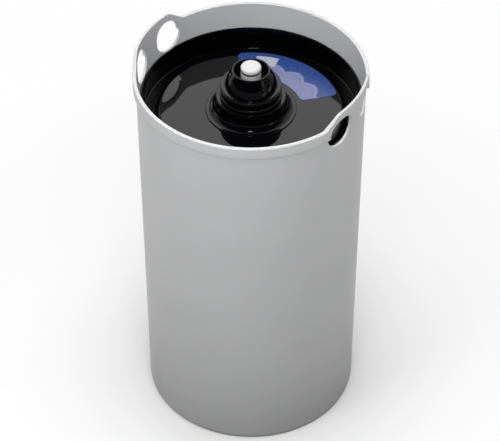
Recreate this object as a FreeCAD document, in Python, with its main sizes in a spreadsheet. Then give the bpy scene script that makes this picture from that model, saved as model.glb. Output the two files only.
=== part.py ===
# Replaceable water filter cartridge: a moulded cup with two lug handles, a pressed-in lid
# with a stepped connection neck, a spring-loaded shut-off plunger and the filter bed inside.
# Origin at the centre of the foot, +Z up along the cartridge, lugs on +X and -X. Millimetres.
import FreeCAD, Part
import math
import os
import Sketcher
from FreeCAD import Placement, Rotation, Vector

# Driving dimensions, in millimetres. Drops are measured down from the rim, rises up from it.
DIMENSIONS = {
    # cup
    "rim_height": 373.6,
    "collar_radius": 106.5,
    "collar_drop": 11.0,
    "collar_bevel": 0.8,
    "collar_step": 2.7,
    "collar_step_round": 0.8,
    "wall_draft": 3.4,
    "wall_thickness": 2.6,
    "base_round": 4.0,
    "foot_recess": 3.0,
    "foot_width": 10.4,
    "floor_thickness": 4.0,
    "floor_round": 2.0,
    "foot_rib_thickness": 2.0,
    "foot_rib_count": 12,
    "boss_radius": 8.0,
    "boss_height": 4.0,
    "rim_round": 0.8,
    "rim_inner_round": 0.6,
    "mouth_depth": 25.0,
    "mouth_flare": 1.7,
    # lug handles
    "lug_rise": 12.0,
    "lug_foot_half": 44.8,
    "lug_top_half": 29.5,
    "lug_top_round": 14.0,
    "lug_foot_round": 3.0,
    "hole_offset": 24.9,
    "hole_width": 29.0,
    "hole_rise": 4.1,
    "hole_drop": 25.8,
    "hole_corner": 13.6,
    # lid
    "lid_drop": 26.1,
    "lid_fit": 0.15,
    "lid_wall": 1.6,
    "lid_lip_round": 0.7,
    "lid_floor": 2.5,
    "gutter_drop": 49.35,
    "gutter_width": 12.1,
    "gutter_round": 1.5,
    "plate_drop": 41.1,
    "plate_round": 5.0,
    "plate_thickness": 3.0,
    "plate_wall": 3.0,
    "lid_rib_count": 12,
    "lid_rib_thickness": 2.0,
    "lid_rib_depth": 6.0,
    "ledge_drop": 58.1,
    "ledge_width": 2.2,
    "ledge_height": 3.5,
    "lid_seal_wire": 1.0,
    "lid_seal_inset": 1.35,
    # neck
    "nose_rise": 3.6,
    "nose_radius": 17.2,
    "nose_round": 1.0,
    "nose_bore": 15.6,
    "nose_bore_drop": 6.6,
    "nose_lead": 0.5,
    "cone_radius": 24.0,
    "cone_bulge": 30.0,
    "cone_inner_radius": 20.0,
    "upper_ledge_drop": 12.6,
    "upper_ledge_round": 0.3,
    "seal_land_radius": 27.5,
    "seal_groove_radius": 25.3,
    "seal_wire": 1.35,
    "seal_groove_play": 0.15,
    "upper_ledge_thickness": 1.0,
    "lower_ledge_drop": 24.9,
    "lower_ledge_round": 0.7,
    "register_radius": 31.8,
    "cove_round": 8.0,
    "flange_radius": 41.5,
    "flange_thickness": 1.0,
    "flange_round": 0.6,
    "neck_inner_radius": 23.0,
    "neck_inner_drop": 28.6,
    "shank_radius": 31.0,
    "shank_inner_radius": 28.2,
    "shank_drop": 61.6,
    "shank_play": 0.3,
    "gasket_radius": 37.4,
    "gasket_wire": 0.85,
    "nut_radius": 38.0,
    "nut_height": 8.0,
    "nut_play": 0.1,
    "nut_slot_width": 6.0,
    "nut_slot_depth": 3.0,
    "nut_slot_count": 6,
    # valve
    "tip_radius": 9.3,
    "tip_rise": 8.4,
    "tip_round": 2.4,
    "dish_radius": 4.2,
    "dish_rim_radius": 5.2,
    "dish_depth": 0.6,
    "tip_ring_rise": 3.25,
    "tip_ring_wire": 1.0,
    "tip_ring_depth": 1.95,
    "flute_radius": 1.9,
    "flute_count": 6,
    "flute_drop": 4.1,
    "valve_fit": 0.1,
    "guide_top_drop": 11.6,
    "guide_wall": 2.05,
    "guide_seat_drop": 14.6,
    "guide_flange_thickness": 2.5,
    "guide_flange_fit": 0.1,
    "port_radius": 1.9,
    "port_circle": 17.3,
    "port_count": 8,
    "valve_seat_drop": 19.6,
    "chamber_radius": 12.4,
    "chamber_wall": 2.2,
    "chamber_end_drop": 47.6,
    "washer_thickness": 1.7,
    "washer_play": 0.1,
    "stop_radius": 11.2,
    "stop_height": 2.5,
    "spring_spigot_radius": 7.2,
    "spring_spigot_height": 4.5,
    "spring_radius": 8.9,
    "spring_wire": 0.75,
    "spring_turns": 5,
    "spring_end_play": 0.05,
    # riser and its coupling
    "coupling_depth": 6.0,
    "coupling_bore": 7.3,
    "coupling_flange": 2.0,
    "coupling_fit": 0.1,
    "socket_radius": 11.6,
    "socket_length": 14.0,
    "socket_bore": 9.2,
    "riser_seal_wire": 0.9,
    "riser_fit": 0.2,
    "riser_wall": 2.2,
    "riser_end": 36.0,
    # strainers
    "strainer_wall": 2.2,
    "strainer_play": 0.25,
    "strainer_floor": 2.5,
    "strainer_collar": 2.4,
    "strainer_collar_height": 9.0,
    "upper_strainer_grip": 8.0,
    "upper_strainer_height": 34.5,
    "lower_strainer_height": 40.0,
    "slot_width": 2.5,
    "slot_margin": 4.0,
    "slot_pairs": 8,
    "cap_thickness": 3.0,
    "cap_plug_height": 4.0,
    "cap_plug_wall": 2.2,
    "cap_dome_radius": 11.0,
    # filter bed
    "bed_play": 0.4,
    "layer_gap": 0.2,
    "fleece_thickness": 4.8,
    "carbon_height": 82.0,
    # label film
    "film_thickness": 0.2,
    "film_flange_gap": 5.0,
    "film_edge_gap": 0.5,
    "film_start_angle": 40.5,
    "film_end_angle": 126.0,
    "film_corner": 5.0,
}


class Size:
    """A dimension with its number and the sheet expression that gives the same number."""

    def __init__(self, number, text):
        self.number = float(number)
        self.text = text

    def __add__(self, other):
        other = as_size(other)
        return Size(self.number + other.number, "(%s + %s)" % (self.text, other.text))

    def __sub__(self, other):
        other = as_size(other)
        return Size(self.number - other.number, "(%s - %s)" % (self.text, other.text))

    def __mul__(self, other):
        other = as_size(other)
        return Size(self.number * other.number, "(%s * %s)" % (self.text, other.text))

    def __truediv__(self, other):
        other = as_size(other)
        return Size(self.number / other.number, "(%s / %s)" % (self.text, other.text))

    def __neg__(self):
        return Size(-self.number, "(0 - %s)" % self.text)


def as_size(value):
    """Take a plain number, such as a share of a half, as a dimension."""
    if isinstance(value, Size):
        return value
    return Size(value, "%g" % value)


def square_root(size):
    return Size(math.sqrt(size.number), "sqrt(%s)" % size.text)


class Sheet:
    """The driving dimensions, each as an attribute that carries its sheet cell."""


doc = FreeCAD.newDocument("water_filter_cartridge")
cells = doc.addObject("Spreadsheet::Sheet", "sizes")
at = Sheet()
for row, (word, value) in enumerate(DIMENSIONS.items(), start=1):
    cells.set("A%d" % row, word)
    cells.set("B%d" % row, str(value))
    cells.setAlias("B%d" % row, word)
    setattr(at, word, Size(value, "sizes." + word))
doc.recompute()

NODES = []


# Shared steps of the model


def new_body(name):
    """A sub-part of its own, whose label is its node name."""
    body = doc.addObject("PartDesign::Body", name)
    body.Label = name
    body.Placement = Placement()
    NODES.append(body)
    return body


def origin_feature(body, role):
    """One of the body's own origin planes or axes."""
    for feature in body.Origin.OriginFeatures:
        if feature.Role == role:
            return feature
    raise ValueError("no origin feature " + role)


def new_sketch(body, name, role, height=None):
    """A sketch on an origin plane, lifted along the plane's normal by a dimension."""
    sketch = body.newObject("Sketcher::SketchObject", name)
    sketch.AttachmentSupport = [(origin_feature(body, role), "")]
    sketch.MapMode = "FlatFace"
    if height is not None:
        sketch.AttachmentOffset = Placement(Vector(0, 0, height.number), Rotation())
        sketch.setExpression("AttachmentOffset.Base.z", height.text)
    return sketch


def arc_between(start, end, radius):
    """The short arc from start to end; it turns left for a positive radius."""
    chord = end - start
    half = chord.Length / 2
    reach = math.sqrt(max(radius * radius - half * half, 0.0))
    left = Vector(-chord.y, chord.x, 0).normalize()
    if radius < 0:
        left = -left
    centre = (start + end) * 0.5 + left * reach
    first, last = (start, end) if radius > 0 else (end, start)
    angle_first = math.atan2(first.y - centre.y, first.x - centre.x)
    angle_last = math.atan2(last.y - centre.y, last.x - centre.x)
    circle = Part.Circle(centre, Vector(0, 0, 1), abs(radius))
    return Part.ArcOfCircle(circle, angle_first, angle_last)


def bind(sketch, constraint, size):
    """Add a dimension to the sketch and tie it to the sheet."""
    index = sketch.addConstraint(constraint)
    if "sizes." in size.text:
        sketch.setExpression("Constraints[%d]" % index, size.text)


def add_outline(sketch, corners):
    """A closed outline. A corner is (across, up) or (across, up, radius), where the radius
    belongs to the arc that arrives at the corner and is negative for a right turn."""
    first = len(sketch.Geometry)
    points = []
    for corner in corners:
        points.append(Vector(as_size(corner[0]).number, as_size(corner[1]).number, 0))
    ends = []
    for index in range(len(corners)):
        target = (index + 1) % len(corners)
        corner = corners[target]
        if len(corner) == 3:
            radius = corner[2].number
            sketch.addGeometry(arc_between(points[index], points[target], radius), False)
            ends.append((1, 2) if radius > 0 else (2, 1))
        else:
            sketch.addGeometry(Part.LineSegment(points[index], points[target]), False)
            ends.append((1, 2))
    for index in range(len(corners)):
        target = (index + 1) % len(corners)
        here, there = first + index, first + target
        joint = Sketcher.Constraint("Coincident", here, ends[index][1], there, ends[target][0])
        sketch.addConstraint(joint)
        across, up = as_size(corners[index][0]), as_size(corners[index][1])
        if across.text == "0":
            axis = Sketcher.Constraint("PointOnObject", here, ends[index][0], -2)
            sketch.addConstraint(axis)
        else:
            value = Sketcher.Constraint(
                "DistanceX", -1, 1, here, ends[index][0], across.number)
            bind(sketch, value, across)
        value = Sketcher.Constraint("DistanceY", -1, 1, here, ends[index][0], up.number)
        bind(sketch, value, up)
        if len(corners[target]) == 3:
            radius = corners[target][2]
            size = radius if radius.number > 0 else -radius
            value = Sketcher.Constraint("Radius", here, size.number)
            bind(sketch, value, size)


def add_circle(sketch, across, up, radius):
    """A full circle whose centre and radius follow the sheet."""
    across, up = as_size(across), as_size(up)
    centre = Vector(across.number, up.number, 0)
    index = sketch.addGeometry(Part.Circle(centre, Vector(0, 0, 1), radius.number), False)
    bind(sketch, Sketcher.Constraint("DistanceX", -1, 1, index, 3, across.number), across)
    bind(sketch, Sketcher.Constraint("DistanceY", -1, 1, index, 3, up.number), up)
    bind(sketch, Sketcher.Constraint("Radius", index, radius.number), radius)


def rounded_box(left, right, low, high, corner):
    """Corners of a rectangle with round corners, counter-clockwise."""
    return [
        (left + corner, low, corner),
        (right - corner, low),
        (right, low + corner, corner),
        (right, high - corner),
        (right - corner, high, corner),
        (left + corner, high),
        (left, high - corner, corner),
        (left, low + corner),
    ]


def revolve(body, name, corners):
    """Turn an outline on the XZ plane a full turn about the body's axis."""
    sketch = new_sketch(body, name + "_section", "XZ_Plane")
    add_outline(sketch, corners)
    feature = body.newObject("PartDesign::Revolution", name)
    feature.Profile = sketch
    feature.ReferenceAxis = (sketch, ["V_Axis"])
    feature.Angle = 360
    return feature


def ring_of(name, outline_corners):
    """A body that is one turned section."""
    body = new_body(name)
    revolve(body, name + "_turned", outline_corners)
    return body


def seal_ring(name, radius, wire, height):
    """An O-ring lying flat at a height."""
    ring = doc.addObject("Part::Torus", name)
    ring.Label = name
    ring.Radius1 = radius.number
    ring.Radius2 = wire.number
    ring.setExpression("Radius1", radius.text)
    ring.setExpression("Radius2", wire.text)
    ring.Placement = Placement(Vector(0, 0, height.number), Rotation())
    ring.setExpression("Placement.Base.z", height.text)
    NODES.append(ring)
    return ring


def cut_through(body, name, sketch):
    """Cut a sketch's shapes through the whole body, both ways from its plane."""
    pocket = body.newObject("PartDesign::Pocket", name)
    pocket.Profile = sketch
    pocket.Type = "ThroughAll"
    pocket.SideType = "Symmetric"
    return pocket


def cut_down(body, name, sketch, depth, upwards=False):
    """Cut a sketch's shapes to a depth below its plane, or above it."""
    pocket = body.newObject("PartDesign::Pocket", name)
    pocket.Profile = sketch
    pocket.Type = "Length"
    pocket.Length = depth.number
    pocket.setExpression("Length", depth.text)
    pocket.Reversed = upwards
    return pocket


def repeat_round(body, name, feature, count):
    """Repeat a feature evenly about the body's axis."""
    pattern = body.newObject("PartDesign::PolarPattern", name)
    pattern.Originals = [feature]
    pattern.Axis = (origin_feature(body, "Z_Axis"), [""])
    pattern.Angle = 360
    pattern.Occurrences = int(count.number)
    pattern.setExpression("Occurrences", count.text)
    body.Tip = pattern
    return pattern


def round_edges(body, name, size, wanted):
    """Round the edges of the body's last feature that pass the test."""
    doc.recompute()
    base = body.Tip
    picked = []
    for number, edge in enumerate(base.Shape.Edges, start=1):
        middle = edge.valueAt((edge.FirstParameter + edge.LastParameter) / 2)
        if wanted(middle, edge):
            picked.append("Edge%d" % number)
    if not picked:
        raise ValueError("no edges found for " + name)
    fillet = body.newObject("PartDesign::Fillet", name)
    fillet.Base = (base, picked)
    fillet.Radius = size.number
    fillet.setExpression("Radius", size.text)
    return fillet


def near(value, wanted):
    """True for two lengths that are the same point of the model."""
    return abs(value - wanted) < 0.01


def distance_from_axis(point):
    return math.hypot(point.x, point.y)


# Levels and drafted walls that several pieces share

rim = at.rim_height
lug_top = rim + at.lug_rise
collar_bottom = rim - at.collar_drop
floor_top = at.foot_recess + at.floor_thickness
ledge_top = rim - at.ledge_drop
lid_top = rim - at.lid_drop
gutter_top = rim - at.gutter_drop
gutter_under = gutter_top - at.lid_floor
plate_top = rim - at.plate_drop
plate_under = plate_top - at.plate_thickness
base_radius = at.collar_radius - at.collar_step - at.wall_draft
taper = at.wall_draft / collar_bottom
mouth_start = rim - at.mouth_depth


def wall_outer(height):
    """Outer radius of the drafted cup wall at a height."""
    return base_radius + taper * height


def wall_inner(height):
    """Inner radius of the drafted cup wall at a height."""
    return wall_outer(height) - at.wall_thickness


def mouth_inner(height):
    """Inner radius of the flared mouth that leads the lid in, above the lid's seat."""
    return wall_inner(height) + at.mouth_flare * (height - mouth_start) / at.mouth_depth


# Cup: one injection moulding with a foot ring, a lid ledge, a thick collar and two lugs

container = new_body("container_shell")
blank_top = lug_top + 3
step = at.collar_step_round
foot_ring = wall_outer(at.base_round)
foot_inner_radius = base_radius - at.foot_width
ledge_low = ledge_top - at.ledge_height
ledge_foot = ledge_low - at.ledge_width
ledge_inner = wall_inner(ledge_top) - at.ledge_width
step_start = collar_bottom - step
floor_corner = floor_top + at.floor_round
revolve(container, "cup", [
    (0, at.foot_recess),
    (foot_inner_radius, at.foot_recess),
    (foot_inner_radius, 0),
    (foot_ring - at.base_round, 0),
    (foot_ring, at.base_round, at.base_round),
    (wall_outer(step_start), step_start),
    (wall_outer(step_start) + step, collar_bottom, -step),
    (at.collar_radius - at.collar_bevel, collar_bottom),
    (at.collar_radius, collar_bottom + at.collar_bevel),
    (at.collar_radius, blank_top),
    (mouth_inner(blank_top), blank_top),
    (wall_inner(mouth_start), mouth_start),
    (wall_inner(ledge_top), ledge_top),
    (ledge_inner, ledge_top),
    (ledge_inner, ledge_low),
    (wall_inner(ledge_foot), ledge_foot),
    (wall_inner(floor_corner), floor_corner),
    (wall_inner(floor_corner) - at.floor_round, floor_top, -at.floor_round),
    (at.boss_radius, floor_top),
    (at.boss_radius, floor_top + at.boss_height),
    (0, floor_top + at.boss_height),
])

# The blank's top is trimmed to the rim, with a lug left standing on each side
clear_half = at.collar_radius + 5
slope_run = at.lug_foot_half - at.lug_top_half
slope_length = square_root(slope_run * slope_run + at.lug_rise * at.lug_rise)
slope_lean = slope_run / slope_length
slope_climb = at.lug_rise / slope_length
round_reach = (slope_length - slope_run) / at.lug_rise
foot_reach = at.lug_foot_round * round_reach
shoulder_reach = at.lug_top_round * round_reach
foot_end = at.lug_foot_half - foot_reach * slope_lean
foot_end_height = rim + foot_reach * slope_climb
shoulder_start = at.lug_top_half + shoulder_reach * slope_lean
shoulder_start_height = lug_top - shoulder_reach * slope_climb
trim_sketch = new_sketch(container, "rim_and_lugs", "YZ_Plane")
add_outline(trim_sketch, [
    (-clear_half, rim),
    (-at.lug_foot_half - foot_reach, rim),
    (-foot_end, foot_end_height, at.lug_foot_round),
    (-shoulder_start, shoulder_start_height),
    (-at.lug_top_half + shoulder_reach, lug_top, -at.lug_top_round),
    (at.lug_top_half - shoulder_reach, lug_top),
    (shoulder_start, shoulder_start_height, -at.lug_top_round),
    (foot_end, foot_end_height),
    (at.lug_foot_half + foot_reach, rim, at.lug_foot_round),
    (clear_half, rim),
    (clear_half, blank_top + 3),
    (-clear_half, blank_top + 3),
])
cut_through(container, "trim_to_lugs", trim_sketch)
round_edges(container, "rim_outer_edge", at.rim_round, lambda middle, edge: (
    middle.z > rim.number - 0.01
    and near(distance_from_axis(middle), at.collar_radius.number)))
round_edges(container, "rim_inner_edge", at.rim_inner_round, lambda middle, edge: (
    middle.z > rim.number - 0.01
    and near(distance_from_axis(middle), mouth_inner(Size(middle.z, "0")).number)))

# Two finger holes in each lug, cut along the lug's own direction as a side core makes them
hole_sketch = new_sketch(container, "finger_holes_outline", "YZ_Plane")
hole_half = at.hole_width / 2
for side in (-1, 1):
    middle_line = at.hole_offset * side
    add_outline(hole_sketch, rounded_box(
        middle_line - hole_half, middle_line + hole_half,
        rim - at.hole_drop, rim + at.hole_rise, at.hole_corner))
cut_through(container, "finger_holes", hole_sketch)

# Stiffening ribs in the recess under the floor, level with the foot ring
foot_rib = new_sketch(container, "foot_rib_outline", "XY_Plane")
half_rib = at.foot_rib_thickness / 2
add_outline(foot_rib, [
    (at.boss_radius, -half_rib),
    (foot_inner_radius + 1, -half_rib),
    (foot_inner_radius + 1, half_rib),
    (at.boss_radius, half_rib),
])
rib = container.newObject("PartDesign::Pad", "foot_rib")
rib.Profile = foot_rib
rib.Length = (at.foot_recess + 1).number
rib.setExpression("Length", (at.foot_recess + 1).text)
repeat_round(container, "foot_ribs", rib, at.foot_rib_count)

# Lid: a pan whose upright wall seats in the cup, with a gutter round a raised flat plate


def lid_outer(height):
    """Outer radius of the lid's upright wall, drafted like the cup."""
    return wall_inner(height) - at.lid_fit


def lid_inner(height):
    """Inner radius of the lid's upright wall."""
    return lid_outer(height) - at.lid_wall


skirt_bottom = ledge_top + at.lid_seal_wire * 2 + 0.1
skirt_inner = lid_inner(gutter_under)
lip = at.lid_lip_round
gutter_corner = gutter_top + at.gutter_round
neck_hole = at.shank_radius + at.shank_play
groove_outer = at.gasket_radius + at.gasket_wire + 0.3
groove_inner = at.gasket_radius - at.gasket_wire - 0.3
groove_floor = plate_top - at.gasket_wire * 2
plate_radius = lid_inner(gutter_corner) - at.gutter_width
plate_flat_radius = plate_radius - at.plate_round
plate_inner_wall = plate_radius - at.plate_wall
lid = new_body("lid_pan")
revolve(lid, "lid_section", [
    (skirt_inner, skirt_bottom),
    (lid_outer(skirt_bottom), skirt_bottom),
    (lid_outer(lid_top), lid_top),
    (lid_inner(lid_top) + lip, lid_top),
    (lid_inner(lid_top - lip), lid_top - lip, lip),
    (lid_inner(gutter_corner), gutter_corner),
    (lid_inner(gutter_corner) - at.gutter_round, gutter_top, -at.gutter_round),
    (plate_radius + at.gutter_round, gutter_top),
    (plate_radius, gutter_corner, -at.gutter_round),
    (plate_radius, plate_top - at.plate_round),
    (plate_flat_radius, plate_top, at.plate_round),
    (groove_outer, plate_top),
    (groove_outer, groove_floor),
    (groove_inner, groove_floor),
    (groove_inner, plate_top),
    (neck_hole, plate_top),
    (neck_hole, plate_under),
    (plate_inner_wall, plate_under),
    (plate_inner_wall, gutter_under),
    (skirt_inner, gutter_under),
])
lid_rib_sketch = new_sketch(lid, "lid_rib_outline", "XY_Plane", plate_under - at.lid_rib_depth)
half_rib = at.lid_rib_thickness / 2
add_outline(lid_rib_sketch, [
    (at.nut_radius + 2, -half_rib),
    (plate_inner_wall + 1, -half_rib),
    (plate_inner_wall + 1, half_rib),
    (at.nut_radius + 2, half_rib),
])
lid_rib = lid.newObject("PartDesign::Pad", "lid_rib")
lid_rib.Profile = lid_rib_sketch
lid_rib.Length = (at.lid_rib_depth + 1).number
lid_rib.setExpression("Length", (at.lid_rib_depth + 1).text)
repeat_round(lid, "lid_ribs", lid_rib, at.lid_rib_count)

seal_ring(
    "lid_seal_ring", wall_inner(ledge_top) - at.lid_seal_inset + 0.1, at.lid_seal_wire,
    ledge_top + at.lid_seal_wire + 0.05)

# Connection neck: nose, cone, two ledges with a seal each, a cove and a flange on the plate

nose_top = rim + at.nose_rise
upper_ledge = rim - at.upper_ledge_drop
lower_ledge = rim - at.lower_ledge_drop
shank_bottom = rim - at.shank_drop
flange_top = plate_top + at.flange_thickness
guide_seat = rim - at.guide_seat_drop
groove_half = at.seal_wire + at.seal_groove_play
upper_groove_top = upper_ledge - at.upper_ledge_thickness
upper_groove_low = upper_groove_top - groove_half * 2
lower_groove_top = lower_ledge + groove_half * 2
neck_step = rim - at.neck_inner_drop
neck_slope = at.shank_inner_radius - at.neck_inner_radius
neck = new_body("neck_spigot")
revolve(neck, "neck_section", [
    (at.shank_inner_radius, shank_bottom),
    (at.shank_radius, shank_bottom),
    (at.shank_radius, plate_top),
    (at.flange_radius, plate_top),
    (at.flange_radius, flange_top - at.flange_round),
    (at.flange_radius - at.flange_round, flange_top, at.flange_round),
    (at.register_radius + at.cove_round, flange_top),
    (at.register_radius, flange_top + at.cove_round, -at.cove_round),
    (at.register_radius, lower_ledge - at.lower_ledge_round),
    (at.register_radius - at.lower_ledge_round, lower_ledge, at.lower_ledge_round),
    (at.seal_groove_radius, lower_ledge),
    (at.seal_groove_radius, lower_groove_top),
    (at.seal_land_radius, lower_groove_top),
    (at.seal_land_radius, upper_groove_low),
    (at.seal_groove_radius, upper_groove_low),
    (at.seal_groove_radius, upper_groove_top),
    (at.seal_land_radius, upper_groove_top),
    (at.seal_land_radius, upper_ledge - at.upper_ledge_round),
    (at.seal_land_radius - at.upper_ledge_round, upper_ledge, at.upper_ledge_round),
    (at.cone_radius, upper_ledge),
    (at.nose_radius, nose_top - at.nose_round, at.cone_bulge),
    (at.nose_radius - at.nose_round, nose_top, at.nose_round),
    (at.nose_bore + at.nose_lead, nose_top),
    (at.nose_bore, nose_top - at.nose_lead),
    (at.nose_bore, rim - at.nose_bore_drop),
    (at.cone_inner_radius, upper_ledge),
    (at.cone_inner_radius, guide_seat),
    (at.neck_inner_radius, guide_seat),
    (at.neck_inner_radius, neck_step),
    (at.shank_inner_radius, neck_step - neck_slope),
])

seal_middle = at.seal_groove_radius + at.seal_wire + 0.15
seal_ring("neck_seal_upper", seal_middle, at.seal_wire, upper_groove_low + groove_half)
seal_ring("neck_seal_lower", seal_middle, at.seal_wire, lower_ledge + groove_half)
seal_ring("neck_gasket", at.gasket_radius, at.gasket_wire - 0.02, plate_top - at.gasket_wire)

# Castellated nut that clamps the lid against the neck's flange from below

nut_bottom = plate_under - at.nut_height
nut_bore = at.shank_radius + at.nut_play
nut = ring_of("neck_lock_nut", [
    (nut_bore, nut_bottom),
    (at.nut_radius, nut_bottom),
    (at.nut_radius, plate_under),
    (nut_bore, plate_under),
])
nut_slot_sketch = new_sketch(nut, "nut_slot_outline", "XY_Plane", nut_bottom)
half_slot = at.nut_slot_width / 2
add_outline(nut_slot_sketch, [
    (at.nut_radius - at.nut_slot_depth, -half_slot),
    (at.nut_radius + 2, -half_slot),
    (at.nut_radius + 2, half_slot),
    (at.nut_radius - at.nut_slot_depth, half_slot),
])
nut_slot = cut_down(nut, "nut_slot", nut_slot_sketch, at.nut_height + 1, upwards=True)
repeat_round(nut, "nut_slots", nut_slot, at.nut_slot_count)

# Valve guide: a ported flange under the neck's inner shoulder, a guide tube and a chamber

guide_bore = at.tip_radius + at.valve_fit
guide_outer = guide_bore + at.guide_wall
guide_top = rim - at.guide_top_drop
valve_seat = rim - at.valve_seat_drop
chamber_end = rim - at.chamber_end_drop
chamber_outer = at.chamber_radius + at.chamber_wall
guide_flange_low = guide_seat - at.guide_flange_thickness
guide = ring_of("valve_guide", [
    (chamber_outer, chamber_end),
    (chamber_outer, guide_flange_low),
    (at.neck_inner_radius - at.guide_flange_fit, guide_flange_low),
    (at.neck_inner_radius - at.guide_flange_fit, guide_seat),
    (guide_outer, guide_seat),
    (guide_outer, guide_top),
    (guide_bore, guide_top),
    (guide_bore, valve_seat),
    (at.chamber_radius, valve_seat),
    (at.chamber_radius, chamber_end),
])
port_sketch = new_sketch(guide, "port_outline", "XY_Plane", guide_seat)
add_circle(port_sketch, at.port_circle, 0, at.port_radius)
port = cut_down(guide, "port", port_sketch, at.guide_flange_thickness + 0.5)
repeat_round(guide, "ports", port, at.port_count)

# Plunger: white pin with a dished head, flutes down to its seat washer and a stop collar

tip_top = rim + at.tip_rise
ring_middle = rim + at.tip_ring_rise
ring_half = at.tip_ring_wire + 0.05
stop_top = valve_seat - at.washer_play - at.washer_thickness
stop_low = stop_top - at.stop_height
plunger = ring_of("valve_plunger", [
    (0, tip_top - at.dish_depth),
    (0, stop_low - at.spring_spigot_height),
    (at.spring_spigot_radius, stop_low - at.spring_spigot_height),
    (at.spring_spigot_radius, stop_low),
    (at.stop_radius, stop_low),
    (at.stop_radius, stop_top),
    (at.tip_radius, stop_top),
    (at.tip_radius, ring_middle - ring_half),
    (at.tip_radius - at.tip_ring_depth, ring_middle - ring_half),
    (at.tip_radius - at.tip_ring_depth, ring_middle + ring_half),
    (at.tip_radius, ring_middle + ring_half),
    (at.tip_radius, tip_top - at.tip_round),
    (at.tip_radius - at.tip_round, tip_top, at.tip_round),
    (at.dish_rim_radius, tip_top),
    (at.dish_radius, tip_top - at.dish_depth),
])
flute_top = rim - at.flute_drop
flute_sketch = new_sketch(plunger, "flute_outline", "XY_Plane", flute_top)
add_circle(flute_sketch, at.tip_radius, 0, at.flute_radius)
flute = cut_down(plunger, "flute", flute_sketch, flute_top - valve_seat)
repeat_round(plunger, "flutes", flute, at.flute_count)

seal_ring(
    "plunger_seal_ring", at.tip_radius - at.tip_ring_depth + at.tip_ring_wire + 0.05,
    at.tip_ring_wire, ring_middle)
ring_of("valve_seal_washer", [
    (at.tip_radius + 0.05, stop_top),
    (at.stop_radius, stop_top),
    (at.stop_radius, stop_top + at.washer_thickness),
    (at.tip_radius + 0.05, stop_top + at.washer_thickness),
])

# Riser coupling: plugs the chamber, carries the spring and takes the riser tube

coupling_top = chamber_end + at.coupling_depth
coupling_low = chamber_end - at.coupling_flange
socket_low = coupling_low - at.socket_length
riser_bore = at.socket_radius + at.riser_fit
riser_outer = riser_bore + at.riser_wall
riser_seal_height = socket_low + at.socket_length / 2
riser_groove_half = at.riser_seal_wire + 0.1
riser_groove_radius = at.socket_radius - at.riser_seal_wire * 2 + 0.2
plug_radius = at.chamber_radius - at.coupling_fit
ring_of("riser_coupling", [
    (at.coupling_bore, coupling_top),
    (at.coupling_bore, coupling_low),
    (at.socket_bore, coupling_low - 3),
    (at.socket_bore, socket_low),
    (at.socket_radius, socket_low),
    (at.socket_radius, riser_seal_height - riser_groove_half),
    (riser_groove_radius, riser_seal_height - riser_groove_half),
    (riser_groove_radius, riser_seal_height + riser_groove_half),
    (at.socket_radius, riser_seal_height + riser_groove_half),
    (at.socket_radius, coupling_low),
    (chamber_outer, coupling_low),
    (chamber_outer, chamber_end),
    (plug_radius, chamber_end),
    (plug_radius, coupling_top),
])
seal_ring(
    "riser_seal_ring", at.socket_radius - at.riser_seal_wire + 0.15, at.riser_seal_wire - 0.05,
    riser_seal_height)

# Compression spring between the coupling and the plunger's stop collar

spring = new_body("plunger_spring")
spring_low = coupling_top + at.spring_wire + at.spring_end_play
spring_height = stop_low - spring_low - at.spring_wire - at.spring_end_play
wire_sketch = new_sketch(spring, "wire_section", "XZ_Plane")
add_circle(wire_sketch, at.spring_radius, spring_low, at.spring_wire)
coil = spring.newObject("PartDesign::AdditiveHelix", "coil")
coil.Profile = wire_sketch
coil.ReferenceAxis = (wire_sketch, ["V_Axis"])
coil.Mode = "height-turns-angle"
coil.Height = spring_height.number
coil.setExpression("Height", spring_height.text)
coil.Turns = at.spring_turns.number
coil.setExpression("Turns", at.spring_turns.text)

# Riser tube from the neck down to the lower strainer

riser_top = coupling_low - 0.3
ring_of("riser_tube", [
    (riser_bore, at.riser_end),
    (riser_outer, at.riser_end),
    (riser_outer, riser_top),
    (riser_bore, riser_top),
])

# Strainers: slotted baskets, one hung on the neck and one standing on the cup's floor

strainer_inner = at.shank_radius + at.strainer_play
strainer_outer = strainer_inner + at.strainer_wall
collar_inner = riser_outer + at.strainer_play
collar_outer = collar_inner + at.strainer_collar
strainer_top = shank_bottom + at.upper_strainer_grip
strainer_low = strainer_top - at.upper_strainer_height
upper_inside = strainer_low + at.strainer_floor


def slotted_basket(name, corners, low, high):
    """A turned basket whose wall has rows of slots, leaving its inner collar whole."""
    body = ring_of(name, corners)
    sketch = new_sketch(body, name + "_slot_outline", "XY_Plane", low)
    half_width = at.slot_width / 2
    add_outline(sketch, [
        (strainer_inner - 1, -half_width),
        (strainer_outer + 1, -half_width),
        (strainer_outer + 1, half_width),
        (strainer_inner - 1, half_width),
    ])
    slot = cut_down(body, name + "_slot", sketch, high - low, upwards=True)
    repeat_round(body, name + "_slots", slot, at.slot_pairs * 2)
    return body


slotted_basket("upper_strainer", [
    (collar_inner, strainer_low),
    (strainer_outer, strainer_low),
    (strainer_outer, strainer_top),
    (strainer_inner, strainer_top),
    (strainer_inner, upper_inside),
    (collar_outer, upper_inside),
    (collar_outer, upper_inside + at.strainer_collar_height),
    (collar_inner, upper_inside + at.strainer_collar_height),
], upper_inside + at.slot_margin, shank_bottom - at.slot_margin)

cap_low = floor_top + at.layer_gap
cap_top = cap_low + at.cap_thickness
basket_top = cap_top + at.lower_strainer_height
basket_under = basket_top - at.strainer_floor
plug_outer = strainer_inner - at.strainer_play
slotted_basket("lower_strainer", [
    (strainer_inner, cap_top),
    (strainer_outer, cap_top),
    (strainer_outer, basket_top),
    (collar_inner, basket_top),
    (collar_inner, basket_under - at.strainer_collar_height),
    (collar_outer, basket_under - at.strainer_collar_height),
    (collar_outer, basket_under),
    (strainer_inner, basket_under),
], cap_top + at.cap_plug_height + 1, basket_under - at.slot_margin)

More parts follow.
